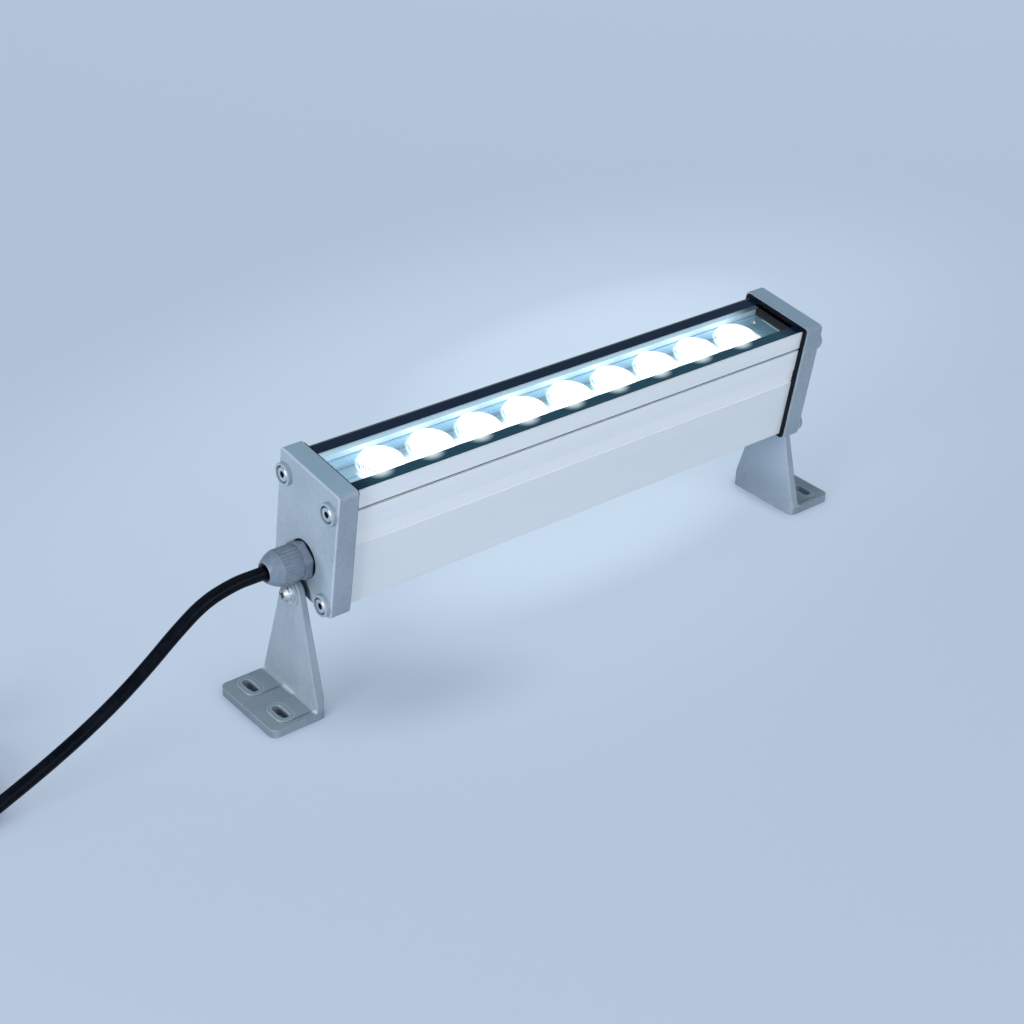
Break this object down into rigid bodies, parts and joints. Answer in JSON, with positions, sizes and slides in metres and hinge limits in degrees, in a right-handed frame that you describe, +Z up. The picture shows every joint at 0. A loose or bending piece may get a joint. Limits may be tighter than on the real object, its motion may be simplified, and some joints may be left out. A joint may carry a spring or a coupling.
{
  "type": "wall washer light",
  "caption": "Linear outdoor wall washer light: sealed extruded housing with round lenses under glass, cast end caps, cable gland with lead, and two tilting slotted feet.",
  "frame": {"origin": "centre of the ground footprint of the lamp and its feet, without the free cable", "axes": "+X along the lamp away from the cable, -Y the front that the lamp leans to, +Z up"},
  "size_m": [0.5537, 0.1005, 0.1235],
  "materials": {
    "anodised_aluminium": "fine brushed, silver anodised",
    "cast_grey": "cool grey powder coat on die-cast aluminium",
    "clear_glass": "clear toughened",
    "black_seal": "black silicone, gloss under the glass",
    "black_rubber": "matte black",
    "grey_nylon": "satin grey nylon",
    "steel": "bright stainless",
    "spacer_nylon": "black nylon",
    "board_white": "white solder mask",
    "thermal_grey": "soft silicone pad",
    "led_yellow": "white package with phosphor",
    "lens_acrylic": "clear optical acrylic",
    "liner_film": "insulating film",
    "board_green": "green solder mask",
    "component_black": "moulded black",
    "terminal_green": "moulded green",
    "wire_red": "extruded insulation",
    "wire_brown": "extruded insulation",
    "black_cable": "smooth black jacket, satin gloss",
    "black_connector": "moulded black nylon",
    "brass_pins": "bright"
  },
  "bodies": {
    "lamp": {"board_screws": "steel", "cable_coil": "black_cable", "cable_inside_gland": "black_cable", "cap_screws_left": "steel", "cap_screws_right": "steel", "connector_body": "black_connector", "connector_boot": "black_rubber", "connector_nut": "black_connector", "connector_pins": "brass_pins", "driver_board": "board_green", "driver_capacitors": "component_black", "driver_choke": "component_black", "driver_input_terminal": "terminal_green", "driver_liner": "liner_film", "driver_output_terminal": "terminal_green", "driver_transformer": "component_black", "end_cap_left": "cast_grey", "end_cap_right": "cast_grey", "gasket_left": "black_rubber", "gasket_right": "black_rubber", "gland_body": "grey_nylon", "gland_dome_nut": "grey_nylon", "gland_locknut": "grey_nylon", "gland_seal": "black_rubber", "gland_sealing_ring": "black_rubber", "glass_cover": "clear_glass", "glass_seal_back": "black_seal", "glass_seal_front": "black_seal", "housing": "anodised_aluminium", "led_1": "led_yellow", "led_2": "led_yellow", "led_3": "led_yellow", "led_4": "led_yellow", "led_5": "led_yellow", "led_6": "led_yellow", "led_7": "led_yellow", "led_8": "led_yellow", "led_9": "led_yellow", "led_board": "board_white", "led_wires": "wire_red", "lens_1": "lens_acrylic", "lens_2": "lens_acrylic", "lens_3": "lens_acrylic", "lens_4": "lens_acrylic", "lens_5": "lens_acrylic", "lens_6": "lens_acrylic", "lens_7": "lens_acrylic", "lens_8": "lens_acrylic", "lens_9": "lens_acrylic", "pivot_screw_left": "steel", "pivot_screw_right": "steel", "pivot_spacer_left": "spacer_nylon", "pivot_spacer_right": "spacer_nylon", "pivot_washer_left": "steel", "pivot_washer_right": "steel", "power_cable": "black_cable", "supply_wires": "wire_brown", "thermal_pad": "thermal_grey"},
    "left_foot": {"foot_left": "cast_grey"},
    "right_foot": {"foot_right": "cast_grey"}
  },
  "joints": [
    {"name": "left_foot_pivot", "type": "hinge", "parent": "lamp", "child": "left_foot", "pos_m": [-0.157, 0.00371, 0.0576], "axis": [1, 0, 0], "range_deg": [-66, 80]},
    {"name": "right_foot_pivot", "type": "hinge", "parent": "lamp", "child": "right_foot", "pos_m": [0.157, 0.00371, 0.0576], "axis": [1, 0, 0], "range_deg": [-66, 80]}
  ]
}
